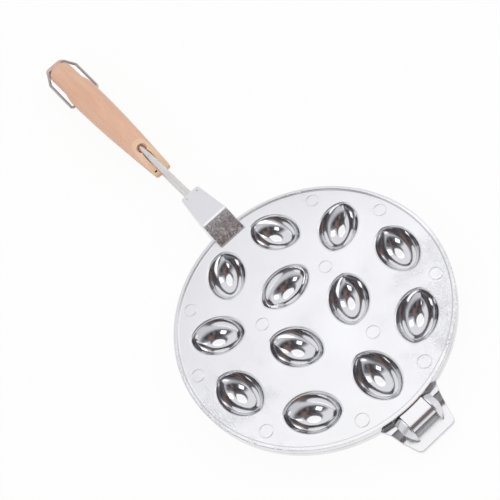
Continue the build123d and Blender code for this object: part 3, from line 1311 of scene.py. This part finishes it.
# ---- finishes ----
class NodeBench:
    """A node tree under construction, with short ways to add and wire its nodes."""

    def __init__(self, tree: bpy.types.NodeTree) -> None:
        """Start on a tree, with Object coordinates at hand."""
        self.tree = tree
        self.place = self.add("ShaderNodeTexCoord").outputs["Object"]

    def add(self, kind: str, **settings: object) -> bpy.types.Node:
        """Add a node.

        Args:
            kind: Its type.
            **settings: Its properties.

        Returns:
            The node.
        """
        node = self.tree.nodes.new(kind)
        for name, value in settings.items():
            setattr(node, name, value)
        return node

    def feed(self, socket: Value, value: object) -> None:
        """Link a socket to an output, or set its number or colour.

        Args:
            socket: The input socket.
            value: The output, number or colour.
        """
        if isinstance(value, bpy.types.NodeSocket):
            self.tree.links.new(value, socket)
        else:
            socket.default_value = value

    def stretched(self, scale: Point, turn: Point = (0, 0, 0)) -> Value:
        """Turn and stretch the Object coordinates.

        Args:
            scale: Factor along each axis.
            turn: Angle round each axis, in radians.

        Returns:
            The changed coordinates.
        """
        node = self.add("ShaderNodeMapping")
        self.feed(node.inputs["Vector"], self.place)
        node.inputs["Scale"].default_value = scale
        node.inputs["Rotation"].default_value = turn
        return node.outputs["Vector"]

    def noise(
        self,
        scale: float,
        detail: float,
        roughness: float,
        vector: Value | None = None,
        distortion: float = 0.0,
    ) -> Value:
        """Add a soft random pattern.

        Args:
            scale: How many of its spots fit in a metre, roughly.
            detail: How many finer layers it has.
            roughness: Share of the finer layers.
            vector: Coordinates, or None for plain Object coordinates.
            distortion: How far it is twisted.

        Returns:
            The pattern, from 0 to 1.
        """
        node = self.add("ShaderNodeTexNoise")
        self.feed(node.inputs["Vector"], vector or self.place)
        node.inputs["Scale"].default_value = scale
        node.inputs["Detail"].default_value = detail
        node.inputs["Roughness"].default_value = roughness
        node.inputs["Distortion"].default_value = distortion
        return node.outputs["Fac"]

    def remap(
        self,
        value: object,
        old: tuple[float, float],
        new: tuple[float, float] = (0.0, 1.0),
    ) -> Value:
        """Stretch a range of values to another one, held at both ends.

        Args:
            value: What to stretch.
            old: Its range.
            new: The range that it gets.

        Returns:
            The stretched value.
        """
        node = self.add("ShaderNodeMapRange", clamp=True)
        self.feed(node.inputs["Value"], value)
        for name, number in zip(("From Min", "From Max", "To Min", "To Max"), (*old, *new)):
            node.inputs[name].default_value = number
        return node.outputs["Result"]

    def maths(self, operation: str, first: object, second: object = 0.0) -> Value:
        """Combine two values.

        Args:
            operation: Name of the calculation.
            first: The first value.
            second: The second one.

        Returns:
            The result.
        """
        node = self.add("ShaderNodeMath", operation=operation)
        self.feed(node.inputs[0], first)
        self.feed(node.inputs[1], second)
        return node.outputs[0]

    def plus(self, first: object, second: object) -> Value:
        """Sum of two values."""
        return self.maths("ADD", first, second)

    def minus(self, first: object, second: object) -> Value:
        """Difference of two values."""
        return self.maths("SUBTRACT", first, second)

    def times(self, first: object, second: object) -> Value:
        """Product of two values."""
        return self.maths("MULTIPLY", first, second)

    def larger(self, first: object, second: object) -> Value:
        """The larger of two values."""
        return self.maths("MAXIMUM", first, second)

    def blend(self, share: object, first: object, second: object) -> Value:
        """Blend two colours.

        Args:
            share: Share of the second one, from 0 to 1.
            first: The first colour.
            second: The second colour.

        Returns:
            The blended colour.
        """
        node = self.add("ShaderNodeMix", data_type="RGBA")
        for index, value in ((0, share), (6, first), (7, second)):
            self.feed(node.inputs[index], value)
        return node.outputs[2]

    def between(self, share: object, first: object, second: object) -> Value:
        """Blend two numbers.

        Args:
            share: Share of the second one, from 0 to 1.
            first: The first number.
            second: The second number.

        Returns:
            The blended number.
        """
        node = self.add("ShaderNodeMix", data_type="FLOAT")
        for index, value in ((0, share), (2, first), (3, second)):
            self.feed(node.inputs[index], value)
        return node.outputs[0]

    def axis(self, name: str) -> Value:
        """One coordinate of the place on the piece.

        Args:
            name: X, Y or Z.

        Returns:
            The coordinate.
        """
        node = self.add("ShaderNodeSeparateXYZ")
        self.feed(node.inputs[0], self.place)
        return node.outputs[name]

    def towards(self, azimuth: float, elevation: float) -> Value:
        """How far a place lies towards a direction given in degrees.

        Args:
            azimuth: Angle of the direction round Z, from +X.
            elevation: Angle of the direction over the floor.

        Returns:
            The distance along the direction.
        """
        away = direction(azimuth, elevation)
        along_x, along_y, along_z = (self.times(self.axis(n), a) for n, a in zip("XYZ", away))
        return self.plus(self.plus(along_x, along_y), along_z)


def direction(azimuth: float, elevation: float) -> Vector:
    """Unit vector towards a direction.

    Args:
        azimuth: Angle round Z from +X, in degrees.
        elevation: Angle over the floor, in degrees.

    Returns:
        The vector.
    """
    turn, rise = math.radians(azimuth), math.radians(elevation)
    flat = math.cos(rise)
    return Vector((math.cos(turn) * flat, math.sin(turn) * flat, math.sin(rise)))


class Shader(NodeBench):
    """A material under construction."""

    def __init__(self, name: str) -> None:
        """Start a material with only a Principled shader in it.

        Args:
            name: The material's name.
        """
        self.material = bpy.data.materials.new(name)
        self.material.use_nodes = True
        super().__init__(self.material.node_tree)
        self.surface = self.tree.nodes["Principled BSDF"]

    def bump(self, height: object, depth: float, strength: float = 1.0) -> None:
        """Give the surface a relief.

        Args:
            height: The relief.
            depth: How deep it is, in metres.
            strength: How much of it counts.
        """
        node = self.add("ShaderNodeBump")
        node.inputs["Strength"].default_value = strength
        node.inputs["Distance"].default_value = depth
        self.feed(node.inputs["Height"], height)
        self.feed(self.surface.inputs["Normal"], node.outputs["Normal"])

    def set(self, **sockets: object) -> None:
        """Set or link sockets of the shader by name, with _ for a space."""
        for name, value in sockets.items():
            self.feed(self.surface.inputs[name.replace("_", " ")], value)


@dataclass(frozen=True)
class BrightPlaces:
    """Values that are 1 where the casting is ground bright, and 0 elsewhere."""

    hollow: Value
    slope: Value
    hinge: Value


@dataclass(frozen=True)
class CastFinish:
    """Cast aluminium: satin on its flat faces, mirror-bright in its hollows."""

    name: str = "cast_aluminium"
    hollow_polish: float = 1.0  # share of the bright finish in the hollows
    colour: Colour = (0.8, 0.8, 0.815, 1.0)
    stained: Colour = (0.72, 0.72, 0.735, 1.0)
    # roughness of the flat faces, the hollows, the lug's slope, the lip and the hinge
    satin: float = 0.32
    bright: float = 0.1
    ground: float = 0.06
    lip: float = 0.16
    worn: float = 0.28
    stain_shine: float = 0.14  # how much less rough the stained patches are
    relief_depth: float = 0.0001
    # shares of the relief
    grain_depth: float = 0.1
    pebble_depths: tuple[float, float] = (0.05, 6.0)  # off and on the patches
    scratch_depth: float = 0.2
    rough_sides: tuple[float, float] = (112.0, -128.0)  # azimuths of the patches
    rough_reach: tuple[float, float] = (0.05, 0.092)  # where they start, where they are full
    bright_radius: float = 0.0955
    lip_radii: tuple[float, float] = (0.0964, 0.0972)
    face_height: float = 0.0204
    slope_x: tuple[float, float] = (-0.0335, -0.0133)  # of the lug's slanted face
    step_x: float = -0.2246  # of the hinge

    def squared_reach(self, shader: Shader) -> Value:
        """Square of the distance from the plates' axis."""
        x, y = shader.minus(shader.axis("X"), MOULD_ORIGIN.x), shader.axis("Y")
        return shader.plus(shader.times(x, x), shader.times(y, y))

    def bright_places(self, shader: Shader, squared: Value) -> BrightPlaces:
        """Find the hollows, the lug's slope and the hinge.

        Args:
            shader: The material.
            squared: Square of the distance from the plates' axis.

        Returns:
            The three places.
        """
        x, z, face = shader.axis("X"), shader.axis("Z"), self.face_height
        edge = self.bright_radius**2
        inside = shader.remap(squared, (edge * 0.99, edge * 1.01), (1.0, 0.0))
        below = shader.remap(z, (face - 0.0009, face + 0.0003), (1.0, 0.0))
        hollow = shader.times(shader.times(inside, below), self.hollow_polish)
        foot_x, top_x = self.slope_x
        past_foot = shader.maths("GREATER_THAN", x, foot_x)
        before_top = shader.maths("LESS_THAN", x, top_x)
        over_face = shader.maths("GREATER_THAN", z, face + 0.0012)
        slope = shader.times(shader.times(past_foot, before_top), over_face)
        return BrightPlaces(hollow, slope, shader.maths("LESS_THAN", x, self.step_x))

    def patches(self, shader: Shader, cloud: Value) -> Value:
        """Find the stained, pebbled patches near two sides of the rim.

        Args:
            shader: The material.
            cloud: The pattern that breaks them up.

        Returns:
            1 on the patches, and 0 elsewhere.
        """
        aside = [
            shader.minus(
                shader.towards(azimuth, 0.0),
                MOULD_ORIGIN.x * math.cos(math.radians(azimuth)),
            )
            for azimuth in self.rough_sides
        ]
        outer = shader.remap(shader.larger(*aside), self.rough_reach, (-0.1, 0.2))
        return shader.remap(shader.plus(cloud, outer), (0.5, 0.82))

    def build(self) -> bpy.types.Material:
        """Make the material.

        Returns:
            The material.
        """
        shader = Shader(self.name)
        squared = self.squared_reach(shader)
        places = self.bright_places(shader, squared)
        bright = shader.larger(shader.larger(places.hollow, places.slope), places.hinge)
        plain = shader.minus(1.0, bright)
        cloud = shader.noise(30.0, 3.0, 0.55)
        patches = self.patches(shader, cloud)
        grain = shader.noise(2600.0, 2.0, 0.6)
        pebbles = shader.noise(720.0, 2.0, 0.6, distortion=0.4)
        along = shader.stretched((1.0, 2.2, 1.0), (0, 0, 0.6))
        scratches = shader.noise(330.0, 4.0, 0.75, along, distortion=1.8)
        relief = shader.plus(
            shader.times(grain, self.grain_depth),
            shader.times(pebbles, shader.remap(patches, (0.0, 1.0), self.pebble_depths)),
        )
        cut = shader.times(scratches, shader.times(places.slope, self.scratch_depth))
        shader.bump(shader.plus(shader.times(relief, plain), cut), self.relief_depth)
        satin = shader.remap(cloud, (0.3, 0.7), (self.satin - 0.03, self.satin + 0.05))
        satin = shader.minus(satin, shader.times(patches, self.stain_shine))
        on_lip = shader.remap(squared, tuple(radius**2 for radius in self.lip_radii))
        satin = shader.between(on_lip, satin, self.lip)
        flecks = shader.remap(scratches, (0.53, 0.59), (0.0, 0.6))
        polished = shader.between(places.slope, self.bright, self.ground)
        polished = shader.between(places.hinge, polished, self.worn)
        polished = shader.plus(polished, shader.times(flecks, places.slope))
        shader.set(
            Base_Color=shader.blend(shader.times(patches, plain), self.colour, self.stained),
            Metallic=1.0,
            Roughness=shader.between(bright, satin, polished),
        )
        return shader.material


@dataclass(frozen=True)
class SteelFinish:
    """Drawn or plated steel."""

    name: str
    colour: Colour
    dull: Colour
    roughness: float
    relief_depth: float = 0.00003

    def build(self) -> bpy.types.Material:
        """Make the material.

        Returns:
            The material.
        """
        shader = Shader(self.name)
        cloud = shader.noise(90.0, 3.0, 0.6)
        drawn = shader.noise(900.0, 2.0, 0.6, shader.stretched((0.03, 1.0, 1.0)))
        shader.bump(drawn, self.relief_depth)
        roughness = (self.roughness - 0.04, self.roughness + 0.08)
        shader.set(
            Base_Color=shader.blend(
                shader.remap(cloud, (0.35, 0.7)), self.colour, self.dull
            ),
            Metallic=1.0,
            Roughness=shader.remap(cloud, (0.3, 0.7), roughness),
        )
        return shader.material


@dataclass(frozen=True)
class WoodFinish:
    """Pale, straight-grained hardwood, sanded and left plain."""

    name: str = "grip_wood"
    pale: Colour = (0.88, 0.55, 0.39, 1.0)
    warm: Colour = (0.8, 0.465, 0.32, 1.0)
    fleck: Colour = (0.58, 0.3, 0.2, 1.0)
    cut: Colour = (0.92, 0.66, 0.45, 1.0)
    roughness: tuple[float, float] = (0.42, 0.6)
    relief_depth: float = 0.00012
    relief_strength: float = 0.6
    cut_start: float = 0.0637  # of the slanted cut at the front
    cut_length: float = 0.034
    cut_foot: float = 0.002  # height of its low end over the parting plane
    cut_rise: float = 0.294

    def fresh_cut(self, shader: Shader) -> Value:
        """Find the paler slanted cut at the grips' front.

        Args:
            shader: The material.

        Returns:
            A share of the cut's colour there, and 0 elsewhere.
        """
        height = shader.maths("ABSOLUTE", shader.minus(shader.axis("Z"), MOULD_ORIGIN.z))
        along = shader.minus(shader.axis("X"), self.cut_start)
        line = shader.plus(shader.times(along, self.cut_rise), self.cut_foot)
        near = shader.remap(shader.minus(height, line), (-0.0018, -0.0008), (0.0, 0.75))
        return shader.times(near, shader.maths("LESS_THAN", along, self.cut_length))

    def build(self) -> bpy.types.Material:
        """Make the material.

        Returns:
            The material.
        """
        shader = Shader(self.name)
        bands = shader.noise(22.0, 3.0, 0.6, shader.stretched((1.0, 9.0, 9.0)), 1.2)
        figure = shader.noise(9.0, 2.0, 0.5, shader.stretched((1.0, 3.0, 3.0)), 0.8)
        fibre = shader.noise(150.0, 4.0, 0.65, shader.stretched((1.0, 22.0, 22.0)))
        rays = shader.noise(330.0, 1.0, 0.4, shader.stretched((1.0, 7.0, 7.0)))
        tone = shader.plus(shader.times(bands, 0.6), shader.times(figure, 0.4))
        ground = shader.blend(shader.remap(tone, (0.36, 0.66)), self.pale, self.warm)
        ground = shader.blend(self.fresh_cut(shader), ground, self.cut)
        flecks = shader.remap(rays, (0.6, 0.72), (0.0, 0.4))
        shader.bump(fibre, self.relief_depth, self.relief_strength)
        shader.set(
            Base_Color=shader.blend(flecks, ground, self.fleck),
            Roughness=shader.remap(fibre, (0.3, 0.7), self.roughness),
        )
        return shader.material


# ---- studio ----
class LampShape(Enum):
    """Outline of a lamp."""

    ROUND = "DISK"
    SQUARE = "SQUARE"


@dataclass(frozen=True)
class Lamp:
    """One soft light over the mould."""

    name: str
    azimuth: float  # degrees from the handle's direction
    elevation: float
    size: float  # its width, in metres
    radiance: float
    shape: LampShape

    def hang(self, aim: Vector, distance: float) -> None:
        """Hang the lamp.

        Args:
            aim: The point that it lights.
            distance: How far it hangs from there.
        """
        data = bpy.data.lights.new(self.name, "AREA")
        data.shape = self.shape.value
        data.size = self.size
        fullness = math.pi / 4 if self.shape is LampShape.ROUND else 1.0
        data.energy = self.radiance * math.pi * self.size**2 * fullness
        lamp = bpy.data.objects.new(self.name, data)
        away = direction(self.azimuth, self.elevation)
        lamp.location = aim + distance * away
        lamp.rotation_euler = away.to_track_quat("Z", "Y").to_euler()
        bpy.context.scene.collection.objects.link(lamp)


@dataclass
class Studio:
    """Camera, floor, soft lamps and a pale room with one dark open side."""

    eye: Vector = field(default_factory=lambda: Vector((-0.4577, 0.07812, 0.61593)))
    ahead: Vector = field(default_factory=lambda: Vector((0.56163, -0.11003, -0.82004)))
    top: Vector = field(default_factory=lambda: Vector((0.57142, -0.66521, 0.48061)))
    lens: float = 72.0
    sensor: float = 36.0
    lamp_distance: float = 1.6
    lamp_aim: Vector = field(default_factory=lambda: Vector((MOULD_ORIGIN.x, 0.0, 0.02)))
    lamps: tuple[Lamp, ...] = (
        Lamp("top_lamp", -26.0, 76.0, 1.3, 0.98, LampShape.ROUND),
        Lamp("left_lamp", 113.0, 39.0, 0.5, 2.0, LampShape.SQUARE),
        Lamp("right_lamp", -104.0, 39.0, 0.5, 2.0, LampShape.SQUARE),
    )
    floor_size: float = 14.0
    floor_colour: Colour = (0.93, 0.93, 0.93, 1.0)
    floor_glow: float = 0.93  # share of plain white where the floor is seen
    open_side: float = 160.0  # azimuth of the dark side of the room
    walls: Colour = (0.88, 0.88, 0.91, 1.0)
    ceiling: Colour = (0.16, 0.16, 0.17, 1.0)
    opening: Colour = (0.06, 0.06, 0.068, 1.0)
    haze: Colour = (0.17, 0.17, 0.185, 1.0)
    clutter: Colour = (0.24, 0.16, 0.14, 1.0)
    clutter_place: tuple[float, float] = (178.0, 56.0)  # azimuth and elevation
    ambient: float = 0.68

    def camera(self) -> None:
        """Place the camera."""
        data = bpy.data.cameras.new("camera")
        data.lens = self.lens
        data.sensor_width = self.sensor
        camera = bpy.data.objects.new("camera", data)
        bpy.context.scene.collection.objects.link(camera)
        right = self.ahead.cross(self.top).normalized()
        up = right.cross(self.ahead).normalized()
        turn = Matrix((right, up, -self.ahead.normalized())).transposed()
        camera.matrix_world = Matrix.Translation(self.eye) @ turn.to_4x4()
        bpy.context.scene.camera = camera

    def floor(self) -> None:
        """A plain white floor that keeps a faint shadow."""
        bpy.ops.mesh.primitive_plane_add(size=self.floor_size)
        floor = bpy.context.object
        floor.name = "floor"
        shader = Shader("floor_white")
        shader.set(Base_Color=self.floor_colour, Roughness=0.9)
        glow = shader.add("ShaderNodeEmission").outputs[0]
        rays = shader.add("ShaderNodeLightPath").outputs
        mirrored = shader.larger(rays["Is Glossy Ray"], rays["Is Transmission Ray"])
        seen = shader.larger(rays["Is Camera Ray"], mirrored)
        mix = shader.add("ShaderNodeMixShader")
        inputs = (shader.times(seen, self.floor_glow), shader.surface.outputs[0], glow)
        for socket, value in zip(mix.inputs, inputs):
            shader.feed(socket, value)
        shader.feed(shader.tree.nodes["Material Output"].inputs[0], mix.outputs[0])
        floor.data.materials.append(shader.material)

    def room(self) -> None:
        """Surroundings that are white where they are seen, and pale and dark in reflections."""
        world = bpy.data.worlds.new("room")
        world.use_nodes = True
        bpy.context.scene.world = world
        bench = NodeBench(world.node_tree)
        dark = bench.times(
            bench.remap(bench.towards(self.open_side, 0.0), (0.05, 0.3)),
            bench.remap(bench.axis("Z"), (0.15, 0.5)),
        )
        overhead = bench.remap(bench.axis("Z"), (0.83, 0.89))
        warm = bench.remap(bench.towards(*self.clutter_place), (0.87, 0.96))
        streaks = bench.remap(bench.noise(3.1, 2.0, 0.5), (0.42, 0.66))
        lit = bench.blend(warm, self.haze, self.clutter)
        opening = bench.blend(streaks, self.opening, lit)
        rays = bench.add("ShaderNodeLightPath").outputs
        plain = bench.between(rays["Is Camera Ray"], self.ambient, 1.0)
        closed = bench.blend(overhead, self.walls, self.ceiling)
        mirrored = bench.blend(dark, closed, opening)
        shown = bench.blend(rays["Is Glossy Ray"], plain, mirrored)
        bench.feed(world.node_tree.nodes["Background"].inputs["Color"], shown)

    def build(self) -> None:
        """Set up the whole studio."""
        self.camera()
        self.floor()
        self.room()
        for lamp in self.lamps:
            lamp.hang(self.lamp_aim, self.lamp_distance)
        bpy.context.scene.view_settings.view_transform = "Standard"


# ---- assembly ----
def report(piece: Piece) -> None:
    """Log a piece's size, and whether its mesh is closed.

    Args:
        piece: The finished piece.
    """
    mesh = bmesh.new()
    mesh.from_mesh(piece.data)
    loose = sum(len(edge.link_faces) != 2 for edge in mesh.edges)
    LOG.info("%s: %d faces, %d edges open", piece.name, len(mesh.faces), loose)
    size = piece.dimensions / MILLIMETRE
    LOG.info("   %.1f x %.1f x %.1f mm, %.2f cm3", *size, mesh.calc_volume() * 1e6)
    mesh.free()


@dataclass
class Fitting:
    """A finished piece with the CAD node that it stands for."""

    piece: Piece
    name: str
    node: str
    body: str
    slot: str
    finish: str = ""  # where the slot's own finish doesn't suit the piece

    def fit(self, finishes: dict[str, bpy.types.Material]) -> None:
        """Seat the piece, dress it, tie it to its body and report it.

        Args:
            finishes: Every finish by its name.
        """
        seat(self.piece, self.name)
        self.piece.data.materials.clear()
        self.piece.data.materials.append(finishes[self.finish or self.slot])
        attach(self.piece, self.body)
        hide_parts(self.node)
        report(self.piece)


def make_fittings() -> list[Fitting]:
    """Shape every piece of the mould.

    Returns:
        The pieces with what they stand for.
    """
    handle = Handle()
    cast, steel, wood = "cast_aluminium", "rod_steel", "grip_wood"
    upper, lower = UpperPlate().build(), LowerPlate().build()
    return [
        Fitting(upper, "upper_casting", "upper_plate", "lid", cast),
        Fitting(lower, "lower_casting", "lower_plate", "base", cast, "cast_satin"),
        Fitting(handle.rod(1), "upper_bar", "upper_rod", "lid", steel),
        Fitting(handle.rod(-1), "lower_bar", "lower_rod", "base", steel),
        Fitting(handle.grip(handle.upper_end), "upper_wood", "upper_grip", "lid", wood),
        Fitting(handle.lower_grip(), "lower_wood", "lower_grip", "base", wood),
        Fitting(handle.brad(), "upper_nail", "upper_grip_brad", "lid", "brad_steel"),
        Fitting(handle.lower_brad(), "lower_nail", "lower_grip_brad", "base", "brad_steel"),
        Fitting(Hinge().pin(), "hinge_axle", "hinge_pin", "base", steel),
        Fitting(LockBail().build(), "bail_wire", "lock_bail", "bail", "wire_steel"),
    ]


def make_finishes() -> dict[str, bpy.types.Material]:
    """Make every finish, by its name."""
    finishes = (
        CastFinish(),
        CastFinish("cast_satin", hollow_polish=0.0, pebble_depths=(0.05, 1.2)),
        SteelFinish("rod_steel", (0.8, 0.785, 0.765, 1), (0.71, 0.695, 0.68, 1), 0.42),
        WoodFinish(),
        SteelFinish("brad_steel", (0.1, 0.07, 0.05, 1), (0.05, 0.04, 0.03, 1), 0.5),
        SteelFinish("wire_steel", (0.56, 0.54, 0.52, 1), (0.46, 0.44, 0.42, 1), 0.16),
    )
    return {finish.name: finish.build() for finish in finishes}


def main() -> None:
    """Build the mould and its studio."""
    logging.basicConfig(level=logging.INFO, format="%(message)s")
    fittings = make_fittings()
    finishes = make_finishes()
    for fitting in fittings:
        fitting.fit(finishes)
    Studio().build()


if __name__ == "__main__":
    main()
